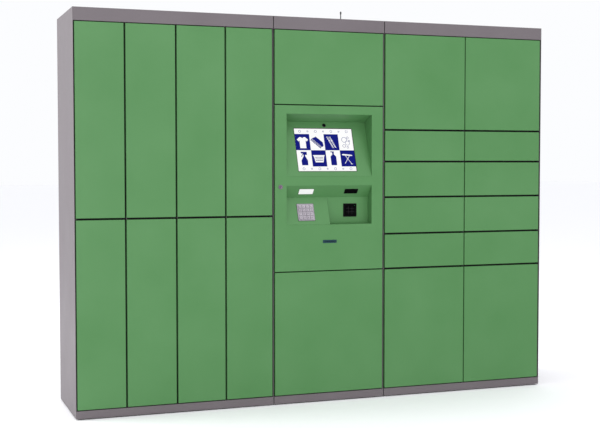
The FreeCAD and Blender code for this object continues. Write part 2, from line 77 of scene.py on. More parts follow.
def vary(tree, shader, place, spacing, colours, roughness, detail=3.0):
    # one slow noise shifts the colour and the roughness together
    noise = addNode(tree, "TexNoise", {"Vector": place, "Scale": perMetre(spacing), "Detail": detail})
    spread = addNode(tree, "MapRange", {"Value": noise.outputs["Fac"], "From Min": 0.3, "From Max": 0.7})
    tint = addNode(tree, "MixRGB", {"Fac": spread.outputs["Result"], "Color1": linear(colours[0]),
                                    "Color2": linear(colours[1])})
    gloss = addNode(tree, "MapRange", {"Value": spread.outputs["Result"], "To Min": roughness[0],
                                       "To Max": roughness[1]})
    tree.links.new(tint.outputs["Color"], shader.inputs["Base Color"])
    tree.links.new(gloss.outputs["Result"], shader.inputs["Roughness"])
    return tint


def grain(tree, shader, place, spacing, depth, stretch=(1, 1, 1), under=None):
    # a fine bump, stretched along an axis for brushed or drawn metal
    turned = addNode(tree, "Mapping", {"Vector": place, "Scale": stretch})
    noise = addNode(tree, "TexNoise", {"Vector": turned.outputs["Vector"], "Scale": perMetre(spacing),
                                       "Detail": 2.0})
    sockets = {"Height": noise.outputs["Fac"], "Distance": depth * mm, "Strength": 0.7}
    if under:
        sockets["Normal"] = under.outputs["Normal"]
    bump = addNode(tree, "Bump", sockets)
    tree.links.new(bump.outputs["Normal"], shader.inputs["Normal"])
    return bump


# ---- materials ----
# Polyester powder coat on sheet steel, sprayed dry and stoved: an even colour with a soft sheen, large slow
# waves from the sheet underneath and a faint orange peel. The real peel is 1 to 2 mm apart, drawn at 4 mm.
powderCoat = {"mottle": 300.0, "roughness": (0.44, 0.54), "wave": (450.0, 0.6), "peel": (4.0, 0.06)}


def makePowderCoat(name, colours):
    material, tree, shader, place = newMaterial(name, Specular_IOR_Level=0.32)
    tint = vary(tree, shader, place, powderCoat["mottle"], colours, powderCoat["roughness"], detail=5.0)
    wave = grain(tree, shader, place, *powderCoat["wave"])
    grain(tree, shader, place, *powderCoat["peel"], under=wave)
    return material, tree, shader, place, tint


def makeDoorFinish():
    # a coated door whose striker, which stands behind the return lip, is bare zinc-plated steel
    material, tree, shader, place, tint = makePowderCoat("greenPowderCoatDoor", greenColours)
    depth = addNode(tree, "SeparateXYZ", {"Vector": place}).outputs["Y"]
    bare = addNode(tree, "Math", {0: depth, 1: strikerFrom}, operation="GREATER_THAN").outputs["Value"]
    mixed = addNode(tree, "MixRGB", {"Fac": bare, "Color1": tint.outputs["Color"],
                                     "Color2": linear(strikerZinc)})
    tree.links.new(mixed.outputs["Color"], shader.inputs["Base Color"])
    tree.links.new(bare, shader.inputs["Metallic"])
    return material


def makeTexturedCoat(name, colours):
    # the same coat with a sand texture, as on instrument cases: matt, with grains 1 mm apart
    material, tree, shader, place = newMaterial(name)
    vary(tree, shader, place, 80.0, colours, (0.6, 0.7))
    grain(tree, shader, place, 1.5, 0.12)
    return material


def makePlated(name, colours, roughness):
    # electroplated steel: a metal with soft cloudy reflections and fine handling marks
    material, tree, shader, place = newMaterial(name, Metallic=1.0)
    vary(tree, shader, place, 18.0, colours, roughness)
    grain(tree, shader, place, 2.5, 0.01)
    return material


def makeBrushed(name, colours, roughness):
    # belt-brushed stainless: lines along X about 0.3 mm apart, drawn at 0.8 mm
    material, tree, shader, place = newMaterial(name, Metallic=1.0)
    vary(tree, shader, place, 30.0, colours, roughness)
    grain(tree, shader, place, 0.8, 0.02, stretch=(0.04, 1, 1))
    return material


def makeMoulded(name, colours, roughness, texture=0.02, shine=0.5):
    # injection-moulded ABS or nylon, with a spark-eroded texture about 1 mm apart
    material, tree, shader, place = newMaterial(name, IOR=1.53, Specular_IOR_Level=shine)
    vary(tree, shader, place, 60.0, colours, roughness)
    grain(tree, shader, place, 1.0, texture)
    return material


def makeGlass(name, colours, roughness, shine=0.1):
    # glass or acrylic over black, with an antireflection coat: faint clear reflections, a little dulled
    material, tree, shader, place = newMaterial(name, IOR=1.5, Specular_IOR_Level=shine)
    vary(tree, shader, place, 45.0, colours, roughness)
    return material


def makeLit(name, colour, strength, roughness=0.3, body=0.0):
    # a backlit surface: opal acrylic, or a picture on the screen, with slight unevenness in the light
    material, tree, shader, place = newMaterial(name, Roughness=roughness, Emission_Strength=strength,
                                                Specular_IOR_Level=0.03, Base_Color=(body, body, body, 1.0))
    noise = addNode(tree, "TexNoise", {"Vector": place, "Scale": perMetre(120.0), "Detail": 1.0})
    dim = tuple(0.95 * c for c in linear(colour)[:3]) + (1.0,)
    glow = addNode(tree, "MixRGB", {"Fac": noise.outputs["Fac"], "Color1": dim, "Color2": linear(colour)})
    tree.links.new(glow.outputs["Color"], shader.inputs["Emission Color"])
    return material


def makeFoot():
    # zinc-plated stud and nut on a black nylon pad
    material, tree, shader, place = newMaterial("footZincAndNylon", Roughness=0.4)
    height = addNode(tree, "SeparateXYZ", {"Vector": place}).outputs["Z"]
    steel = addNode(tree, "Math", {0: height, 1: footPadTop}, operation="GREATER_THAN").outputs["Value"]
    noise = addNode(tree, "TexNoise", {"Vector": place, "Scale": perMetre(12.0), "Detail": 3.0})
    zinc = addNode(tree, "MixRGB", {"Fac": noise.outputs["Fac"], "Color1": linear("#a9adb2"),
                                    "Color2": linear("#bdbcb3")})
    tint = addNode(tree, "MixRGB", {"Fac": steel, "Color1": linear("#161617"),
                                    "Color2": zinc.outputs["Color"]})
    tree.links.new(tint.outputs["Color"], shader.inputs["Base Color"])
    tree.links.new(steel, shader.inputs["Metallic"])
    grain(tree, shader, place, 2.0, 0.03)
    return material


greenColours = ("#447542", "#4b7a49")
doorDepth = 18.0
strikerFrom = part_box("garment_door_lower_1")[0].y + (doorDepth + 0.2) * mm      # just behind the return lip
strikerZinc = "#b2b4b5"
footPadTop = 6 * mm
greenCoat = makePowderCoat("greenPowderCoat", greenColours)[0]
greenDoor = makeDoorFinish()
greyCoat = makePowderCoat("greyPowderCoat", ("#60595d", "#655e62"))[0]
darkCoat = makeTexturedCoat("darkTexturedCoat", ("#25272a", "#2d2f32"))
zincPlate = makePlated("zincPlatedSteel", ("#a8adb4", "#bcbab0"), (0.3, 0.42))
blackZinc = makePlated("blackZincPlatedSteel", ("#17181b", "#232428"), (0.4, 0.52))
chromePlate = makePlated("chromedTube", ("#c9cbd0", "#d6d7da"), (0.06, 0.14))
nickelPlate = makePlated("satinNickelLock", ("#6f6070", "#796a7a"), (0.3, 0.38))
brushedPlate = makeBrushed("brushedStainless", ("#77737a", "#8a868c"), (0.34, 0.44))
brushedKeys = makeBrushed("brushedStainlessKeys", ("#7f7980", "#98939a"), (0.3, 0.38))
blackAbs = makeMoulded("blackMouldedAbs", ("#101012", "#17171a"), (0.42, 0.52))
readerAbs = makeMoulded("mattBlackReaderAbs", ("#040405", "#060607"), (0.5, 0.6), texture=0.01, shine=0.04)
inkBlueAbs = makeMoulded("inkBlueMouldedAbs", ("#16343f", "#1b3b45"), (0.42, 0.52), shine=0.2)
greyPvc = makeMoulded("greyExtrudedPvc", ("#8e9295", "#999da0"), (0.45, 0.55))
clearNylon = makeMoulded("naturalNylon", ("#cfcdc4", "#dad8cf"), (0.4, 0.5))
rubber = makeMoulded("blackEpdmRubber", ("#0b0b0c", "#111112"), (0.75, 0.85), texture=0.05)
# near-black foam for the gap tape; the same black is painted shade in vent slots and louvre mouths
foamAndPaintedShade = makeMoulded("blackFoamTapeAndPaintedShade", ("#060606", "#0b0b0b"), (0.9, 0.96), texture=0.3)
screenGlass = makeGlass("screenGlass", ("#07080a", "#0b0c0e"), (0.06, 0.14))
darkWindow = makeGlass("smokedAcrylic", ("#040405", "#070708"), (0.08, 0.18), shine=0.02)
opalLamp = makeLit("opalAcrylicLamp", "#f4f6f4", 0.68, body=0.25)
displayWhite = makeLit("displayWhite", "#ffffff", 1.0, roughness=0.12)
displayNavy = makeLit("displayNavy", "#000f80", 0.92, roughness=0.12)
displayLine = makeLit("displayLine", "#1f3590", 0.9, roughness=0.12)
greenLamp = makeLit("greenIndicator", "#39d353", 1.2)
lensGlass = makeGlass("coatedLensGlass", ("#05060c", "#0a0818"), (0.02, 0.05))
legendInk = makeMoulded("engravedInk", ("#1b1b1e", "#242428"), (0.5, 0.6))

nodeFinish = {
    "terminal_panel": greenCoat, "levelling_feet": makeFoot(), "hanging_rails": chromePlate,
    "door_hinges": blackZinc, "door_locks": zincPlate, "control_unit": darkCoat, "roof_antenna": blackAbs,
    "touch_screen": screenGlass, "camera": darkWindow, "keypad_body": brushedPlate, "keypad_lamp": opalLamp,
    "code_scanner": darkWindow, "card_reader": readerAbs, "receipt_printer": inkBlueAbs,
    "cam_lock": nickelPlate,
}


def finishOf(name):
    if "_door_" in name:
        return greenDoor
    if name.startswith("key_"):
        return brushedKeys
    return nodeFinish.get(name, greyCoat)


for name, node in nodes.items():
    node.data.materials.clear()
    node.data.materials.append(finishOf(name))
print("materials made")


# ---- mesh helpers: each part is built in millimetres round its own origin, then put in place ----
def block(size, centre=(0, 0, 0), round=0.0, segments=2):
    mesh = bmesh.new()
    bmesh.ops.create_cube(mesh, size=1.0, matrix=Matrix.Translation(centre) @ Matrix.Diagonal((*size, 1.0)))
    if round:
        bmesh.ops.bevel(mesh, geom=mesh.edges[:], offset=round, affect="EDGES", segments=segments,
                        profile=0.5, material=-1)
    return mesh


def turned(profile, steps=24, closed=False):
    # turns (radius, height) points round Z; an open profile starts and ends on the axis
    mesh = bmesh.new()
    verts = [mesh.verts.new((r, 0, z)) for r, z in profile]
    pairs = list(zip(verts, verts[1:] + verts[:1])) if closed else list(zip(verts, verts[1:]))
    edges = [mesh.edges.new(pair) for pair in pairs]
    bmesh.ops.spin(mesh, geom=verts + edges, cent=(0, 0, 0), axis=(0, 0, 1), angle=2 * math.pi,
                   steps=steps, use_merge=True)
    bmesh.ops.remove_doubles(mesh, verts=mesh.verts, dist=1e-4)
    bmesh.ops.recalc_face_normals(mesh, faces=mesh.faces)
    return mesh


def disc(radius, low, high, edge=0.0, steps=24):
    rim = [(radius, low), (radius, high)]
    if edge:
        rim = [(radius, low), (radius, high - edge), (radius - edge * 0.3, high - edge * 0.3),
               (radius - edge, high)]
    return turned([(0, low), *rim, (0, high)], steps)


def ring(outer, inner, low, high, steps=32):
    return turned([(inner, low), (outer, low), (outer, high), (inner, high)], steps, closed=True)


def dome(radius, low, rise, steps=12, rings=3):
    arc = [(radius * math.cos(a), low + rise * math.sin(a))
           for a in (math.pi / 2 * i / rings for i in range(rings))]
    return turned([(0, low), *arc, (0, low + rise)], steps)


def plate(points, low, high):
    mesh = bmesh.new()
    face = mesh.faces.new([mesh.verts.new((x, y, low)) for x, y in points])
    raised = bmesh.ops.extrude_face_region(mesh, geom=[face], use_keep_orig=True)["geom"]
    bmesh.ops.translate(mesh, verts=[v for v in raised if isinstance(v, bmesh.types.BMVert)],
                        vec=(0, 0, high - low))
    bmesh.ops.recalc_face_normals(mesh, faces=mesh.faces)
    return mesh


def bar(start, end, wide, low, high):
    # a straight bar seen from above
    a, b = Vector(start), Vector(end)
    side = Vector((a.y - b.y, b.x - a.x)).normalized() * wide / 2
    return plate([a + side, a - side, b - side, b + side], low, high)


def windowFrame(outer, inner, low, high):
    # a flat rectangular ring
    mesh = bmesh.new()
    place = Matrix.Translation((0, 0, low)) @ Matrix.Diagonal((*outer, 1, 1))
    corners = bmesh.ops.create_grid(mesh, x_segments=1, y_segments=1, size=0.5, matrix=place)["verts"]
    face = corners[0].link_faces[0]
    bmesh.ops.inset_individual(mesh, faces=[face], thickness=(outer[0] - inner[0]) / 2)
    bmesh.ops.delete(mesh, geom=[face], context="FACES")
    raised = bmesh.ops.extrude_face_region(mesh, geom=mesh.faces[:], use_keep_orig=True)["geom"]
    bmesh.ops.translate(mesh, verts=[v for v in raised if isinstance(v, bmesh.types.BMVert)],
                        vec=(0, 0, high - low))
    bmesh.ops.recalc_face_normals(mesh, faces=mesh.faces)
    return mesh


def lettering(text, size, low, high):
    curve = bpy.data.curves.new("lettering", "FONT")
    curve.body = text
    curve.size = size
    curve.align_x = "CENTER"
    curve.align_y = "CENTER"
    curve.extrude = (high - low) / 2
    curve.resolution_u = 3
    holder = bpy.data.objects.new("lettering", curve)
    data = bpy.data.meshes.new_from_object(holder)
    mesh = bmesh.new()
    mesh.from_mesh(data)
    bmesh.ops.remove_doubles(mesh, verts=mesh.verts, dist=1e-4)
    bmesh.ops.translate(mesh, verts=mesh.verts, vec=(0, 0, (low + high) / 2))
    bpy.data.objects.remove(holder)
    bpy.data.curves.remove(curve)
    bpy.data.meshes.remove(data)
    return mesh


class Piece:
    # gathers parts into one object that rides on one body
    def __init__(self, name, material, body, smooth=False):
        self.name, self.material, self.body, self.smooth = name, material, body, smooth
        self.mesh = bmesh.new()

    def add(self, part, place=Matrix()):
        part.transform(place)
        data = bpy.data.meshes.new("part")
        part.to_mesh(data)
        part.free()
        self.mesh.from_mesh(data)
        bpy.data.meshes.remove(data)

    def finish(self):
        data = bpy.data.meshes.new(self.name)
        self.mesh.to_mesh(data)
        self.mesh.free()
        data.materials.append(self.material)
        if self.smooth:
            data.shade_smooth()
            data.set_sharp_from_angle(angle=math.radians(40))
        piece = bpy.data.objects.new(self.name, data)
        bpy.context.scene.collection.objects.link(piece)
        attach(piece, self.body)


def millimetres(spot, turn=Matrix()):
    return Matrix.Translation(spot) @ turn @ Matrix.Scale(mm, 4)


toFront = Matrix.Rotation(math.radians(90), 4, "X")     # a part's Z comes to point at -Y
toBack = Matrix.Rotation(math.radians(-90), 4, "X")     # and at +Y
toLeft = Matrix.Rotation(math.radians(-90), 4, "Y")
toRight = Matrix.Rotation(math.radians(90), 4, "Y")


# ---- the grid of doors ----
doorColumns = [[f"garment_door_lower_{i}", f"garment_door_upper_{i}"] for i in range(1, 5)]
doorColumns.append(["large_door_lower", "terminal_panel", "large_door_upper"])
doorColumns += [[f"parcel_door_{side}_{row}" for row in range(1, 7)] for side in ("left", "right")]
moduleColumns = (doorColumns[:4], doorColumns[4:5], doorColumns[5:])
carcasses = ("garment_carcass", "terminal_carcass", "parcel_carcass")
boxes = {name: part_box(name) for name in nodes}
faceY = boxes["garment_door_lower_1"][0].y
frameY = boxes["dividers"][0].y
floorZ, ceilingZ = boxes["dividers"][0].z, boxes["dividers"][1].z
wall = 1.5 * mm

# the black strips across each door gap are painted shade standing in for the gaps' depth
foamTapeAndGapShade = {"thick": 2.5, "behind": 1.5, "lockEdge": 7.0, "hingeEdge": 19.0}


def makeFoamTapeAndGapShade():
    # black foam tape on the face frame, behind every gap, for the doors to close on; it spans each whole gap
    # as a black sheet, painted shade that makes the gaps read dark
    tape = Piece("foam_tape_and_gap_shade", foamAndPaintedShade, "root")
    reach, thick = foamTapeAndGapShade["behind"] * mm, foamTapeAndGapShade["thick"] * mm

    def strip(x0, x1, z0, z1):
        spot = ((x0 + x1) / 2, frameY - thick / 2, (z0 + z1) / 2)
        size = ((x1 - x0) / mm, thick / mm, (z1 - z0) / mm)
        tape.add(block(size, round=0.4, segments=1), millimetres(spot))

    for columns, carcass in zip(moduleColumns, carcasses):
        low, high = boxes[carcass]
        edges = [low.x + wall]
        for column in columns:
            edges += [boxes[column[0]][0].x, boxes[column[0]][1].x]
        edges.append(high.x - wall)
        for x0, x1 in zip(edges[::2], edges[1::2]):
            left = x0 if x0 == edges[0] else x0 - reach
            right = x1 if x1 == edges[-1] else x1 + reach
            strip(left, right, floorZ, ceilingZ)
        for column in columns:
            x0 = boxes[column[0]][0].x + foamTapeAndGapShade["lockEdge"] * mm
            x1 = boxes[column[0]][1].x - foamTapeAndGapShade["hingeEdge"] * mm
            heights = [floorZ]
            for name in column:
                heights += [boxes[name][0].z, boxes[name][1].z]
            heights.append(ceilingZ)
            for z0, z1 in zip(heights[::2], heights[1::2]):
                bottom = z0 if z0 == floorZ else z0 - reach
                top = z1 if z1 == ceilingZ else z1 + reach
                strip(x0, x1, bottom, top)
    tape.finish()


makeFoamTapeAndGapShade()
print("foam tape made")


# ---- locks and door fittings ----
lock = {"inset": 6.5, "wide": 14.0, "deep": 70.0, "mouth": 7.0, "cheek": 3.0, "boltRadius": 3.2,
        "boltDepth": 11.0, "screwSpread": 30.0, "screw": 3.4, "socket": (9, 12, 18), "socketDrop": 22.0}


def raisedHead(radius):
    return disc(radius, -0.4, 0.7, edge=0.4, steps=16)


def makeLockFittings():
    # the bolt across each lock's mouth, two screws in its face, and the connector at its back
    bolts = Piece("lock_bolts", chromePlate, "root", smooth=True)
    screws = Piece("lock_screws", zincPlate, "root", smooth=True)
    sockets = Piece("lock_connectors", blackAbs, "root")
    socketSize = lock["socket"]
    for column in doorColumns:
        for name in column:
            if name == "terminal_panel":
                continue
            low, high = boxes[name]
            x = low.x + lock["inset"] * mm
            z = (low.z + high.z) / 2
            mouthMiddle = x + (lock["cheek"] + lock["mouth"] / 2) * mm
            spot = (mouthMiddle, frameY + lock["boltDepth"] * mm, z)
            bolts.add(disc(lock["boltRadius"], -lock["mouth"] / 2, lock["mouth"] / 2, steps=16),
                      millimetres(spot, toRight))
            for side in (-1, 1):
                head = (x + lock["wide"] / 2 * mm, frameY, z + side * lock["screwSpread"] * mm)
                screws.add(raisedHead(lock["screw"]), millimetres(head, toFront))
            behind = frameY + (lock["deep"] + socketSize[1] / 2) * mm
            spot = (x + lock["wide"] / 2 * mm, behind, z - lock["socketDrop"] * mm)
            sockets.add(block(socketSize, round=0.8, segments=1), millimetres(spot))
    for piece in (bolts, screws, sockets):
        piece.finish()


bumper = {"radius": 4.5, "thick": 3.0, "inset": 12.0}


def makeBumpers():
    # clear nylon buffers on the back of each door's free edge
    for column in doorColumns:
        for name in column:
            low, high = boxes[name]
            buffers = Piece(f"{name}_buffers", clearNylon, name, smooth=True)
            backOfDoor = faceY + doorDepth * mm
            for z in (low.z + bumper["inset"] * mm, high.z - bumper["inset"] * mm):
                spot = (low.x + bumper["inset"] * mm, backOfDoor, z)
                buffers.add(disc(bumper["radius"], -0.2, bumper["thick"], edge=0.8, steps=16),
                            millimetres(spot, toBack))
            buffers.finish()


makeLockFittings()
makeBumpers()
print("locks and buffers made")


# ---- terminal: places on its panel ----
panelLow, panelHigh = boxes["terminal_panel"]
terminalX = (panelLow.x + panelHigh.x) / 2
screenRecess = {"foot": 1180.0, "edge": 1468.0, "depth": 100.0}
keypadRecess = {"foot": 930.0, "edge": 1071.0, "depth": 54.0}
hood = {"foot": 1135.0, "edge": 1071.0, "depth": 54.0}
up = Vector((0, 0, 1))


def onPanel(x, depth, height, upward=up):
    # a device's own frame: X to the right, Y upward, Z out of the panel
    across = Vector((1, 0, 0))
    turn = Matrix((across, upward, across.cross(upward))).transposed().to_4x4()
    return millimetres((terminalX + x * mm, faceY + depth * mm, height * mm), turn)


def onSlope(recess, x, height):
    rise = recess["edge"] - recess["foot"]
    depth = (height - recess["foot"]) / rise * recess["depth"]
    upward = Vector((0, recess["depth"], rise)).normalized() * (1 if rise > 0 else -1)
    return onPanel(x, depth, height, upward)


# ---- screen ----
screen = {"x": -5.5, "height": 1321.0, "window": (330.0, 241.0), "picture": (324.0, 235.0), "glass": -1.5,
          "bands": (30.0, 25.0), "layer": 0.12}


def makeGasket():
    gasket = Piece("screen_gasket", rubber, "terminal_panel")
    gasket.add(windowFrame(screen["window"], screen["picture"], screen["glass"], -0.3),
               onSlope(screenRecess, screen["x"], screen["height"]))
    gasket.finish()


def ironingBoard(add):
    add(plate([(-32, 21), (-25, 25), (22, 20), (29, 16), (22, 14), (-26, 17)], 0, 1))
    add(bar((-14, 18), (19, -31), 2.4, 0, 1))
    add(bar((12, 16), (-19, -29), 2.4, 0, 1))
    add(bar((13, -31), (26, -31), 2.2, 0, 1))


def bottle(add):
    add(plate([(-14, -38), (14, -38), (16, -34), (16, 10), (7, 20), (-7, 20), (-16, 10), (-16, -34)], 0, 1))
    add(block((9, 16, 1), (0, 27, 0.5)))
    add(block((20, 5, 1), (-4, 36, 0.5)))


def basket(add):
    add(plate([(-29, 14), (29, 14), (22, -22), (-22, -22)], 0, 1))
    add(block((64, 6, 1), (0, 15, 0.5)))


def basketHoles(add):
    for row, y in enumerate((6, -3, -12)):
        for i in range(-3, 4):
            add(block((4.5, 4.0, 1), (i * (6.6 - 0.5 * row), y, 0.5)))


def brush(add):
    turn = Matrix.Rotation(math.radians(-42), 4, "Z")
    add(plate([(-34, -2), (-24, 20), (24, 20), (38, 8), (38, -2)], 0, 1), turn)
    for i in range(-5, 6):
        add(block((4.6, 15, 1), (i * 6.4, -9, 0.5)), turn)


def bubbles(add):
    for x, y, radius in ((-8, 14, 15), (9, -4, 13), (12, 25, 7), (-12, -20, 9), (20, 8, 5), (8, -28, 6)):
        add(ring(radius, radius - 1.8, 0, 1), Matrix.Translation((x, y, 0)))


def shirt(add):
    half = [(7, 27), (15, 28), (31, 14), (23, 3), (17, 9), (17, -34)]
    add(plate(half + [(-x, y) for x, y in reversed(half)] + [(-3, 23), (3, 23)], 0, 1))


def sprayBottle(add):
    add(plate([(-18, -38), (16, -38), (17, -12), (6, 10), (-6, 10), (-19, -12)], 0, 1))
    add(block((9, 12, 1), (0, 14, 0.5)))
    add(plate([(-18, 36), (15, 36), (15, 19), (-6, 19), (-6, 25), (-18, 28)], 0, 1))
    add(bar((-9, 23), (-16, 9), 4.0, 0, 1))


def pegs(add):
    for shift in (-8, 6):
        add(bar((-17 + shift, 31), (12 + shift, -31), 2.4, 0, 1))
        add(bar((-11 + shift, 31), (16 + shift, -31), 2.0, 0, 1))
        add(bar((-5 + shift, 12), (1 + shift, 6), 4.0, 0, 1))


tiles = ((shirt, brush, pegs, bubbles), (sprayBottle, basket, bottle, ironingBoard))
bandBubbles = {"count": 7, "step": 44.0, "radii": (7.0, 4.5), "line": 1.7}


def makePicture():
    # a menu of eight laundry pictograms, as a chequered block on a white ground
    wide, tall = screen["picture"]
    layer = screen["layer"]
    base = onSlope(screenRecess, screen["x"], screen["height"]) @ Matrix.Translation((0, 0, screen["glass"]))
    ground = Piece("display_ground", displayWhite, "terminal_panel")
    ground.add(block((wide, tall, layer), (0, 0, layer / 2)), base)
    ground.finish()
    squares = Piece("display_squares", displayNavy, "terminal_panel")
    navy = Piece("display_navy_icons", displayNavy, "terminal_panel")
    white = Piece("display_white_icons", displayWhite, "terminal_panel")
    lines = Piece("display_bubbles", displayLine, "terminal_panel")
    topBand, bottomBand = screen["bands"]
    tileWide, tileTall = wide / 4, (tall - topBand - bottomBand) / 2

    def layered(level):
        return Matrix.Translation((0, 0, level * layer)) @ Matrix.Diagonal((1, 1, layer, 1))

    for row, icons in enumerate(tiles):
        for column, icon in enumerate(icons):
            x = (column - 1.5) * tileWide
            y = tall / 2 - topBand - (row + 0.5) * tileTall
            tile = base @ Matrix.Translation((x, y, 0))
            onNavy = (row + column) % 2 == 0
            if onNavy:
                squares.add(block((tileWide, tileTall, 1), (0, 0, 0.5)), tile @ layered(1))
            target = lines if icon is bubbles else white if onNavy else navy
            level = layered(2 if onNavy else 1)
            icon(lambda part, turn=Matrix(): target.add(part, tile @ level @ turn))
            if icon is basket:
                basketHoles(lambda part: squares.add(part, tile @ layered(3)))
    for y in (tall / 2 - topBand / 2, bottomBand / 2 - tall / 2):
        for i in range(bandBubbles["count"]):
            x = (i - (bandBubbles["count"] - 1) / 2) * bandBubbles["step"]
            radius = bandBubbles["radii"][i % 2]
            lines.add(ring(radius, radius - bandBubbles["line"], 0, 1),
                      base @ Matrix.Translation((x, y, 0)) @ layered(1))
    for piece in (squares, navy, white, lines):
        piece.finish()


makeGasket()
makePicture()
print("screen made")


# ---- keypad legends ----
keypad = {"x": -124.5, "height": 995.0, "pitch": 20.5, "keyTop": 4.5, "plate": 92.0, "letter": 10.5}
keyRows = (("1", "2", "3", "a"), ("4", "5", "6", "b"), ("7", "8", "9", "c"), ("star", "0", "hash", "d"))
legends = {"star": "*", "hash": "#"}


def makeLegends():
    base = onSlope(keypadRecess, keypad["x"], keypad["height"])
    for row, names in enumerate(keyRows):
        for column, name in enumerate(names):
            spot = ((column - 1.5) * keypad["pitch"], (1.5 - row) * keypad["pitch"], 0)
            mark = Piece(f"key_{name}_legend", legendInk, f"key_{name}")
            mark.add(lettering(legends.get(name, name.upper()), keypad["letter"], keypad["keyTop"] - 0.05,
                               keypad["keyTop"] + 0.08), base @ Matrix.Translation(spot))
            mark.finish()


def makeKeypadGasket():
    gasket = Piece("keypad_gasket", rubber, "terminal_panel")
    side = keypad["plate"]
    gasket.add(windowFrame((side + 2.4, side + 2.4), (side + 0.1, side + 0.1), -0.1, 1.0),
               onSlope(keypadRecess, keypad["x"], keypad["height"]))
    gasket.finish()


makeLegends()
makeKeypadGasket()
print("keypad made")


# ---- terminal: cam lock, windows, reader and slot ----
camLock = {"x": -272.0, "height": 1128.0, "head": 11.7, "proud": 1.42, "plug": 6.65, "sleeve": 9.75,
           "nut": 15.2, "washer": 16.5}


def makeCamLockTrim():
    place = onPanel(camLock["x"], 0, camLock["height"])
    head, plug, sleeve = camLock["head"], camLock["plug"], camLock["sleeve"]
    trim = Piece("cam_lock_barrel_trim", nickelPlate, "terminal_panel", smooth=True)
    proud = camLock["proud"]
    flange = [(plug, -0.2), (head, -0.02), (head, proud - 0.5), (head - 0.5, proud), (plug + 0.5, proud),
              (plug, proud - 0.4)]
    trim.add(turned(flange, 48, closed=True), place)
    trim.add(ring(sleeve, plug, -24.3, -6.0, 36), place)
    trim.finish()
    nut = Piece("cam_lock_nut", zincPlate, "terminal_panel")
    nut.add(ring(camLock["nut"], 9.4, -6.4, -2.4, 6), place)
    nut.add(ring(camLock["washer"], 9.6, -2.4, -1.55, 32), place)
    nut.finish()


hoodWindows = {"lamp": {"x": -122.0, "size": (79.0, 34.0)}, "scanner": {"x": 131.0, "size": (74.0, 30.0)},
               "height": 1103.0}
reader = {"x": 135.5, "height": 1002.0, "size": (74.0, 68.0), "proud": 5.0, "window": (60.0, 54.0)}
slot = {"height": 842.0, "outer": (77.0, 16.0), "inner": (70.0, 9.0), "proud": 1.2}


def makeWindowSeals():
    # thin rubber seals round the lamp, the scanner and the reader
    seals = Piece("window_seals", rubber, "terminal_panel")
    for key in ("lamp", "scanner"):
        wide, tall = hoodWindows[key]["size"]
        seals.add(windowFrame((wide + 2.4, tall + 2.4), (wide - 0.2, tall - 0.2), -0.1, 0.7),
                  onSlope(hood, hoodWindows[key]["x"], hoodWindows["height"]))
    wide, tall = reader["size"]
    seals.add(windowFrame((wide + 2.4, tall + 2.4), (wide - 0.2, tall - 0.2), -0.1, 0.8),
              onPanel(reader["x"], keypadRecess["depth"], reader["height"]))
    seals.finish()


def makeReaderFace():
    # a smoked window on the reader, with a printed grid and a ready light
    place = onPanel(reader["x"], keypadRecess["depth"], reader["height"])
    wide, tall = reader["window"]
    top = reader["proud"]
    window = Piece("reader_window", darkWindow, "terminal_panel")
    window.add(block((wide, tall, 0.7), (0, 0, top + 0.15), round=0.25, segments=1), place)
    window.finish()
    grid = Piece("reader_grid", blackAbs, "terminal_panel")
    for i in (-1, 1):
        grid.add(block((0.7, tall - 12, 0.08), (i * wide / 6, 0, top + 0.52)), place)
        grid.add(block((wide - 12, 0.7, 0.08), (0, i * tall / 6, top + 0.52)), place)
    grid.finish()
    light = Piece("reader_light", greenLamp, "terminal_panel", smooth=True)
    light.add(dome(1.1, top + 0.3, 0.5), place @ Matrix.Translation((wide / 2 - 5, tall / 2 - 4, 0)))
    light.finish()


def makeSlotBezel():
    bezel = Piece("receipt_slot_bezel", inkBlueAbs, "terminal_panel")
    bezel.add(windowFrame(slot["outer"], slot["inner"], -0.1, slot["proud"]), onPanel(0, 0, slot["height"]))
    bezel.add(block((58.0, 0.8, 4.0), (0, -1.9, -2.4)), onPanel(0, 0, slot["height"]))
    bezel.finish()


cameraTrim = {"x": 3.0, "height": 1450.0, "ring": 10.5, "bore": 7.9, "lens": 4.4}


def makeCameraTrim():
    place = onSlope(screenRecess, cameraTrim["x"], cameraTrim["height"])
    rim = Piece("camera_ring", blackAbs, "terminal_panel", smooth=True)
    inner, outer = cameraTrim["bore"], cameraTrim["ring"]
    rim.add(turned([(inner, -0.1), (outer, -0.1), (outer, 0.6), (9.6, 1.3), (inner, 1.3)], 36, closed=True),
            place)
    rim.finish()
    lens = Piece("camera_lens", lensGlass, "terminal_panel", smooth=True)
    lens.add(dome(cameraTrim["lens"], 0.02, 1.2, steps=24, rings=5), place)
    lens.finish()


rearCover = {"skin": 0.4, "lampDepth": 14.0, "printer": (104.0, 96.0), "printerSpan": (-110.0, -20.0),
             "printerRise": 22.0, "screenBack": -36.0, "plate": (200.0, 120.0), "plateDrop": 10.0,
             "driver": (118, 78, 11), "gears": ((6, -48, 15), (27, -64, 9), (-10, -70, 11))}


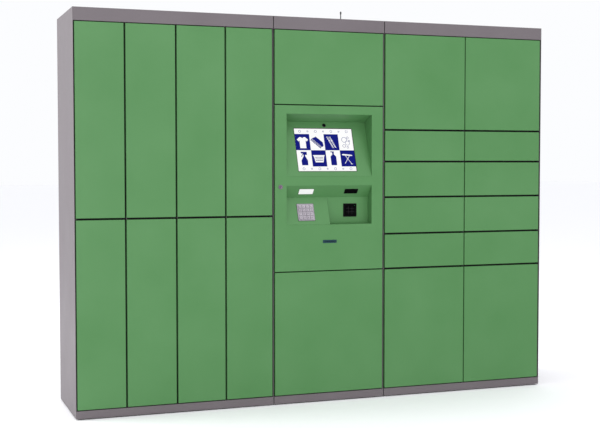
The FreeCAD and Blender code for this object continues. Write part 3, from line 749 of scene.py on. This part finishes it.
def makeScreenBack():
    # mounting plate, vents and a driver board cover on the back of the screen
    base = onSlope(screenRecess, screen["x"], screen["height"])
    level = rearCover["screenBack"]
    wide, tall = rearCover["plate"]
    drop = rearCover["plateDrop"]
    metal = Piece("screen_back_plate", zincPlate, "terminal_panel")
    metal.add(block((wide, tall, 2.4), (0, -drop, level - 1.0), round=0.8, segments=1), base)
    metal.finish()
    cover = Piece("screen_driver_cover", darkCoat, "terminal_panel")
    cover.add(block(rearCover["driver"], (0, -drop, level - 7.0), round=2.5, segments=3), base)
    cover.finish()
    # the vent slots are flat black strips on the plate: painted shade where the holes would be
    vents = Piece("screen_back_vent_shade", foamAndPaintedShade, "terminal_panel")
    for i in range(-9, 10):
        vents.add(block((4.0, 22, 0.5), (i * 15.0, 88, level - 0.1)), base)
    for i in range(-4, 5):
        vents.add(block((3.0, 46, 0.5), (i * 10.0, -drop, level - 12.5)), base)
    vents.finish()
    screws = Piece("screen_back_screws", zincPlate, "terminal_panel", smooth=True)
    flip = Matrix.Rotation(math.pi, 4, "X")
    for x in (-1, 1):
        for y in (-1, 1):
            spot = (x * (wide / 2 - 9), y * (tall / 2 - 9) - drop, level - 2.2)
            screws.add(dome(4.2, -0.2, 2.2, steps=16), base @ Matrix.Translation(spot) @ flip)
    screws.finish()


def makeRearCovers():
    # casings over the lamp and the receipt printer, and what shows on them from inside
    skin = rearCover["skin"]
    wide, tall = hoodWindows["lamp"]["size"]
    lampCase = Piece("lamp_casing", blackAbs, "terminal_panel")
    depth = rearCover["lampDepth"]
    lampCase.add(block((wide - 1, tall - 1, depth - 1.2), (0, 0, -(depth + skin + 1.6) / 2), round=1.5),
                 onSlope(hood, hoodWindows["lamp"]["x"], hoodWindows["height"]))
    lampCase.finish()
    place = onPanel(0, 0, slot["height"])
    wide, tall = rearCover["printer"]
    low, high = rearCover["printerSpan"]
    rise = rearCover["printerRise"]
    printerCase = Piece("printer_casing", darkCoat, "terminal_panel")
    middle = (low + high) / 2
    outside = (wide + 2 * skin, tall + 2 * skin, high - low + 2 * skin)
    printerCase.add(block(outside, (0, rise, middle), round=2.0), place)
    printerCase.finish()
    door = Piece("printer_paper_door", blackAbs, "terminal_panel")
    door.add(block((wide - 14, 1.6, high - low - 24), (0, rise + tall / 2 + 0.8, middle), round=0.6), place)
    door.add(block((30, 4.0, 9), (0, rise + tall / 2 + 2.0, low + 18), round=1.2), place)
    door.finish()
    gears = Piece("printer_gears", clearNylon, "terminal_panel", smooth=True)
    for y, z, radius in rearCover["gears"]:
        spot = place @ Matrix.Translation((wide / 2 + skin, rise + y, z)) @ toRight
        gears.add(disc(radius, -0.2, 4.0, edge=0.6, steps=28), spot)
        gears.add(disc(3.0, 4.0, 5.4, edge=0.4, steps=16), spot)
    gears.finish()


makeCamLockTrim()
makeScreenBack()
makeRearCovers()
makeWindowSeals()
makeReaderFace()
makeSlotBezel()
makeCameraTrim()
print("terminal trim made")

# ---- inside of the terminal bay ----
bay = {"ductX": (-225.0, 225.0), "ductSize": (40.0, 60.0), "ductSpan": (730.0, 1500.0), "slots": 10.0,
       "railZ": 850.0, "railSpan": 340.0}
controlLow, controlHigh = boxes["control_unit"]
bayBack = controlHigh.y       # inner face of the back panel


def rootPlace(x, y, z, turn=Matrix()):
    return millimetres((terminalX + x * mm, y, z * mm), turn)


def makeDucts():
    # slotted wiring ducts, upright at both sides, with snap-on lids
    wide, deep = bay["ductSize"]
    low, high = bay["ductSpan"]
    ducts = Piece("wiring_ducts", greyPvc, "root")
    lids = Piece("wiring_duct_lids", greyPvc, "root")
    for x in bay["ductX"]:
        ducts.add(block((wide, 2, high - low)), rootPlace(x, bayBack - 1 * mm, (low + high) / 2))
        lids.add(block((wide + 2, 5, high - low), round=1.0, segments=1),
                 rootPlace(x, bayBack - (deep - 2) * mm, (low + high) / 2))
        steps = int((high - low) / (2 * bay["slots"]))
        for side in (-1, 1):
            edge = x + side * (wide / 2 - 0.8)
            ducts.add(block((1.6, deep - 20, high - low)),
                      rootPlace(edge, bayBack - (deep - 20) / 2 * mm, (low + high) / 2))
            for i in range(steps):
                z = low + (i + 0.5) * 2 * bay["slots"]
                ducts.add(block((1.6, 18, bay["slots"])), rootPlace(edge, bayBack - (deep - 11.5) * mm, z))
    ducts.finish()
    lids.finish()


# Sizes are X, Y and Z. A depth runs forward from the back panel, to the middle of the thing.
railGear = {"web": (6, 27), "webDepth": 3, "lip": (1.2, 5), "lipDepth": 7, "lipRise": 15.5}
powerSupply = {"x": -120, "size": (62, 92, 118), "depth": 55, "slot": (46, 0.6, 3), "slotDepth": 101.2,
               "slots": 9, "firstSlot": -32, "slotPitch": 8}
breaker = {"count": 4, "x": -62, "pitch": 18.2, "body": (17.6, 60, 88), "bodyDepth": 38,
           "nose": (17.6, 12, 44), "noseDepth": 72, "toggle": (8, 12, 10), "toggleDepth": 80, "toggleRise": 6}
terminalBlock = {"count": 18, "x": 22, "pitch": 6.4, "size": (5.9, 42, 56), "depth": 28, "screw": 1.9,
                 "screwDepth": 49, "screwRise": 17}


def bayPlace(x, depth, z, turn=Matrix()):
    return rootPlace(x, bayBack - depth * mm, z, turn)


def makeRailGear():
    # a top-hat rail with a power supply, breakers and a row of terminal blocks
    z, span = bay["railZ"], bay["railSpan"]
    rail = Piece("mounting_rail", zincPlate, "root")
    rail.add(block((span, *railGear["web"])), bayPlace(0, railGear["webDepth"], z))
    for side in (-1, 1):
        rail.add(block((span, *railGear["lip"])),
                 bayPlace(0, railGear["lipDepth"], z + side * railGear["lipRise"]))
    rail.finish()
    supply = Piece("power_supply", darkCoat, "root")
    supply.add(block(powerSupply["size"], round=1.5), bayPlace(powerSupply["x"], powerSupply["depth"], z))
    supply.finish()
    # the vent slots are thin black strips on the casing: painted shade where the holes would be
    vents = Piece("power_supply_vent_shade", foamAndPaintedShade, "root")
    for i in range(powerSupply["slots"]):
        height = z + powerSupply["firstSlot"] + i * powerSupply["slotPitch"]
        vents.add(block(powerSupply["slot"]), bayPlace(powerSupply["x"], powerSupply["slotDepth"], height))
    vents.finish()
    breakers = Piece("breakers", greyPvc, "root")
    toggles = Piece("breaker_toggles", blackAbs, "root")
    for i in range(breaker["count"]):
        x = breaker["x"] + i * breaker["pitch"]
        for part in ("body", "nose"):
            breakers.add(block(breaker[part], round=1.2, segments=1), bayPlace(x, breaker[part + "Depth"], z))
        toggles.add(block(breaker["toggle"], round=1.0, segments=1),
                    bayPlace(x, breaker["toggleDepth"], z + breaker["toggleRise"]))
    breakers.finish()
    toggles.finish()
    blocks = Piece("terminal_blocks", greyPvc, "root")
    screws = Piece("terminal_block_screws", zincPlate, "root")
    for i in range(terminalBlock["count"]):
        x = terminalBlock["x"] + i * terminalBlock["pitch"]
        blocks.add(block(terminalBlock["size"], round=0.8, segments=1),
                   bayPlace(x, terminalBlock["depth"], z))
        for side in (-1, 1):
            spot = bayPlace(x, terminalBlock["screwDepth"], z + side * terminalBlock["screwRise"], toFront)
            screws.add(disc(terminalBlock["screw"], -0.5, 0.4, steps=8), spot)
    blocks.finish()
    screws.finish()


# Heights are above the middle of the control unit's front.
control = {"slot": (74, 0.5, 3.2), "slotX": (-95, 0, 95), "slots": 14, "firstSlot": 10, "slotPitch": 6.6,
           "lid": (300.0, 224.0), "lidInside": (292.0, 216.0), "portWidths": (16, 16, 14, 14, 14, 32, 32, 20),
           "portX": -125, "portPitch": 36, "portTall": 12.0, "portHeight": -84, "shell": 3.0, "lights": 8,
           "light": 1.8, "lightX": -128, "lightPitch": 9, "lightHeight": -58, "screw": 4.5,
           "screwX": (-171, 171), "screwHeights": (-85, 0, 85), "earDepth": 3}


def makeControlTrim():
    # vents, ports, a status light row and fixing screws on the control unit
    frontY = controlLow.y
    middle = (controlLow.z + controlHigh.z) / 2 / mm
    # the vent slots are thin black strips on the front: painted shade where the holes would be
    vents = Piece("control_unit_vent_shade", foamAndPaintedShade, "root")
    for i in range(control["slots"]):
        height = middle + control["firstSlot"] + i * control["slotPitch"]
        for x in control["slotX"]:
            vents.add(block(control["slot"]), rootPlace(x, frontY - 0.2 * mm, height))
    vents.finish()
    lid = Piece("control_unit_lid", darkCoat, "root")
    lid.add(windowFrame(control["lid"], control["lidInside"], 0, 1.0), rootPlace(0, frontY, middle, toFront))
    lid.finish()
    ports = Piece("control_unit_ports", blackAbs, "root")
    shells = Piece("control_unit_port_shells", zincPlate, "root")
    tall, border = control["portTall"], control["shell"]
    height = middle + control["portHeight"]
    for i, wide in enumerate(control["portWidths"]):
        x = control["portX"] + i * control["portPitch"]
        shells.add(windowFrame((wide + border, tall + border), (wide, tall), 0, 2.4),
                   rootPlace(x, frontY, height, toFront))
        ports.add(block((wide, 0.6, tall)), rootPlace(x, frontY - 0.3 * mm, height))
    ports.finish()
    shells.finish()
    lights = Piece("control_unit_lights", greenLamp, "root", smooth=True)
    for i in range(control["lights"]):
        x = control["lightX"] + i * control["lightPitch"]
        lights.add(dome(control["light"], -0.1, 1.4),
                   rootPlace(x, frontY, middle + control["lightHeight"], toFront))
    lights.finish()
    screws = Piece("control_unit_screws", zincPlate, "root", smooth=True)
    for x in control["screwX"]:
        for rise in control["screwHeights"]:
            screws.add(dome(control["screw"], -0.2, 2.6, steps=16),
                       bayPlace(x, control["earDepth"], middle + rise, toFront))
    screws.finish()


makeDucts()
makeRailGear()
makeControlTrim()
print("terminal bay fitted")

# ---- carcass: rivets, louvres, bolts and the cable grommet ----
back = {"rivet": 2.6, "rivetRise": 1.1, "pitch": 148.0, "inset": 10.0, "rows": (54.0, 1988.0), "setback": 4.0,
        "louvre": (96.0, 3.4, 9.0), "louvres": 7, "louvrePitch": 19.0, "louvreHeights": (210.0, 1740.0),
        "twoBanksFrom": 800.0}
backY = boxes["garment_carcass"][1].y - back["setback"] * mm


def louvre(size):
    # a pressed hood, open along its foot
    wide, out, tall = size
    mesh = block((wide, tall, out * 2), round=out * 0.95, segments=4)
    everything = mesh.verts[:] + mesh.edges[:] + mesh.faces[:]
    cut = bmesh.ops.bisect_plane(mesh, geom=everything, plane_co=(0, 0, 0), plane_no=(0, 0, -1),
                                 clear_outer=True)["geom_cut"]
    bmesh.ops.contextual_create(mesh, geom=[e for e in cut if isinstance(e, bmesh.types.BMEdge)])
    bmesh.ops.recalc_face_normals(mesh, faces=mesh.faces)
    return mesh


def makeBackTrim():
    rivets = Piece("back_panel_rivets", zincPlate, "root", smooth=True)
    vents = Piece("back_panel_louvres", greyCoat, "root", smooth=True)
    # a black strip in each louvre's open foot is painted shade under the hood
    mouths = Piece("back_panel_louvre_mouth_shade", foamAndPaintedShade, "root")
    for carcass in carcasses:
        low, high = boxes[carcass]
        x0, x1 = low.x / mm + 1.5 + back["inset"], high.x / mm - 1.5 - back["inset"]
        z0, z1 = back["rows"]
        across = round((x1 - x0) / back["pitch"])
        upward = round((z1 - z0) / back["pitch"])
        spots = [(x0 + (x1 - x0) * i / across, z) for i in range(across + 1) for z in (z0, z1)]
        spots += [(x, z0 + (z1 - z0) * i / upward) for i in range(1, upward) for x in (x0, x1)]
        for x, z in spots:
            rivets.add(dome(back["rivet"], -0.1, back["rivetRise"], steps=10, rings=2),
                       millimetres((x * mm, backY, z * mm), toBack))
        centres = (-0.25, 0.25) if x1 - x0 > back["twoBanksFrom"] else (0,)
        for share in centres:
            x = (x0 + x1) / 2 + share * (x1 - x0)
            for height in back["louvreHeights"]:
                for i in range(back["louvres"]):
                    z = height + (i - back["louvres"] // 2) * back["louvrePitch"]
                    vents.add(louvre(back["louvre"]), millimetres((x * mm, backY, z * mm), toBack))
                    mouths.add(block((back["louvre"][0] - 8, 0.3, 2.4)),
                               millimetres((x * mm, backY + 0.1 * mm, (z - 5.6) * mm)))
    for piece in (rivets, vents, mouths):
        piece.finish()


cableEntry = {"height": 1965.0, "inside": ((15.9, -3.2), (20.5, -3.2), (20.5, -1.4), (15.9, -1.4)),
              "outside": ((16.1, 0.05), (21.5, 0.05), (20.5, 2.6), (18.5, 3.2), (16.1, 3.2))}


def makeGrommet():
    # rubber grommet in the cable entry, high in the terminal module's back
    grommet = Piece("cable_grommet", rubber, "root", smooth=True)
    for half in ("inside", "outside"):
        grommet.add(turned(cableEntry[half], 36, closed=True),
                    rootPlace(0, backY, cableEntry["height"], toBack))
    grommet.finish()


joining = {"heights": (300.0, 800.0, 1160.0, 1700.0), "depths": (-130.0, 170.0), "across": 13.0, "tall": 7.0}


def hexHead(across, tall):
    return disc(across / math.sqrt(3), 0, tall, edge=0.6, steps=6)


def makeJoiningBolts():
    # bolts through neighbouring module walls, with a washer and a head or nut on each side
    bolts = Piece("module_joining_bolts", zincPlate, "root")
    washers = Piece("module_joining_washers", zincPlate, "root", smooth=True)
    for left, right in zip(carcasses, carcasses[1:]):
        seamX = boxes[left][1].x
        for z in joining["heights"]:
            for y in joining["depths"]:
                for side, turn in ((-1, toLeft), (1, toRight)):
                    spot = (seamX + side * wall, y * mm, z * mm)
                    washers.add(disc(10.0, -0.1, 1.6, edge=0.4), millimetres(spot, turn))
                    bolts.add(hexHead(joining["across"], joining["tall"]), millimetres(spot, turn))
    bolts.finish()
    washers.finish()


roof = {"plug": 11.0, "plugRise": 2.6, "inset": 60.0, "depths": (-170.0, 190.0)}


def makeRoofTrim():
    # plugged lifting points on the roof, and the antenna's washer
    plugs = Piece("roof_lifting_plugs", blackAbs, "root", smooth=True)
    for carcass in carcasses:
        low, high = boxes[carcass]
        for x in (low.x + roof["inset"] * mm, high.x - roof["inset"] * mm):
            for y in roof["depths"]:
                plugs.add(dome(roof["plug"], -0.2, roof["plugRise"], steps=20, rings=4),
                          millimetres((x, y * mm, high.z)))
    plugs.finish()
    low, high = boxes["roof_antenna"]
    foot = ((low.x + high.x) / 2, (low.y + high.y) / 2, low.z)
    washer = Piece("antenna_washer", rubber, "root", smooth=True)
    washer.add(ring(18.5, 13.0, 0.02, 1.8), millimetres(foot))
    washer.finish()


hanging = {"spread": 14.5, "screw": 3.2, "flange": 5.0, "flangeRadius": 22.0, "divider": 1.2}


def makeRailScrews():
    # two raised-head screws in each flange of the hanging rails
    screws = Piece("hanging_rail_screws", zincPlate, "root", smooth=True)
    low, high = boxes["hanging_rails"]
    heights = (low.z + hanging["flangeRadius"] * mm, high.z - hanging["flangeRadius"] * mm)
    edges = [boxes["garment_carcass"][0].x + wall]
    for left, right in zip(moduleColumns[0], moduleColumns[0][1:]):
        middle = (boxes[left[0]][1].x + boxes[right[0]][0].x) / 2
        edges += [middle - hanging["divider"] / 2 * mm, middle + hanging["divider"] / 2 * mm]
    edges.append(boxes["garment_carcass"][1].x - wall)
    for x0, x1 in zip(edges[::2], edges[1::2]):
        for z in heights:
            for y in (-hanging["spread"], hanging["spread"]):
                for x, side, turn in ((x0, 1, toRight), (x1, -1, toLeft)):
                    spot = (x + side * hanging["flange"] * mm, y * mm, z)
                    screws.add(raisedHead(hanging["screw"]), millimetres(spot, turn))
    screws.finish()


makeBackTrim()
makeGrommet()
makeJoiningBolts()
makeRoofTrim()
makeRailScrews()
print("carcass trim made")

# ---- floor, light and camera ----
stage = {"floorSize": 120.0, "floorColour": "#fdfdff", "skyColour": "#fcfdff", "skyStrength": 1.0}


def makeStage():
    mesh = bmesh.new()
    bmesh.ops.create_grid(mesh, x_segments=1, y_segments=1, size=stage["floorSize"] / 2)
    floor = bpy.data.objects.new("floor", bpy.data.meshes.new("floor"))
    mesh.to_mesh(floor.data)
    mesh.free()
    bpy.context.scene.collection.objects.link(floor)
    colour = linear(stage["floorColour"])
    floor.data.materials.append(newMaterial("paleFloor", Roughness=0.8, Base_Color=colour)[0])
    world = bpy.data.worlds.new("sky")
    world.use_nodes = True
    sky = world.node_tree.nodes["Background"]
    sky.inputs["Color"].default_value = linear(stage["skyColour"])
    sky.inputs["Strength"].default_value = stage["skyStrength"]
    bpy.context.scene.world = world


lamps = {
    "frontLight": {"at": (-2.6, -8.5, 2.6), "aim": (0.2, -0.26, 1.0), "size": 3.6, "watts": 235.0},
    "topLight": {"at": (2.4, -5.0, 7.0), "aim": (0.9, -0.6, 0.6), "size": 4.0, "watts": 130.0},
    "sideLight": {"at": (-7.0, 2.3, 3.0), "aim": (-1.3, 0.1, 1.1), "size": 4.0, "watts": 380.0},
}


def makeLamps():
    for name, s in lamps.items():
        data = bpy.data.lights.new(name, "AREA")
        data.shape = "SQUARE"
        data.size = s["size"]
        data.energy = s["watts"]
        lamp = bpy.data.objects.new(name, data)
        lamp.location = s["at"]
        lamp.rotation_euler = (Vector(s["aim"]) - lamp.location).to_track_quat("-Z", "Y").to_euler()
        bpy.context.scene.collection.objects.link(lamp)


cameraAt = {"place": (-2.1343, -5.7237, 1.2508), "turn": -20.09, "tilt": -2.614, "roll": -0.013,
            "lens": 67.52}


def makeCamera():
    data = bpy.data.cameras.new("camera")
    data.lens = cameraAt["lens"]
    data.sensor_width = 36.0
    camera = bpy.data.objects.new("camera", data)
    turn = Matrix.Rotation(math.radians(cameraAt["turn"]), 4, "Z")
    tilt = Matrix.Rotation(math.radians(90 + cameraAt["tilt"]), 4, "X")
    roll = Matrix.Rotation(math.radians(cameraAt["roll"]), 4, "Z")
    camera.matrix_world = Matrix.Translation(cameraAt["place"]) @ turn @ tilt @ roll
    bpy.context.scene.collection.objects.link(camera)
    bpy.context.scene.camera = camera


makeStage()
makeLamps()
makeCamera()
bpy.context.scene.view_settings.view_transform = "Standard"
print("stage, lamps and camera made")
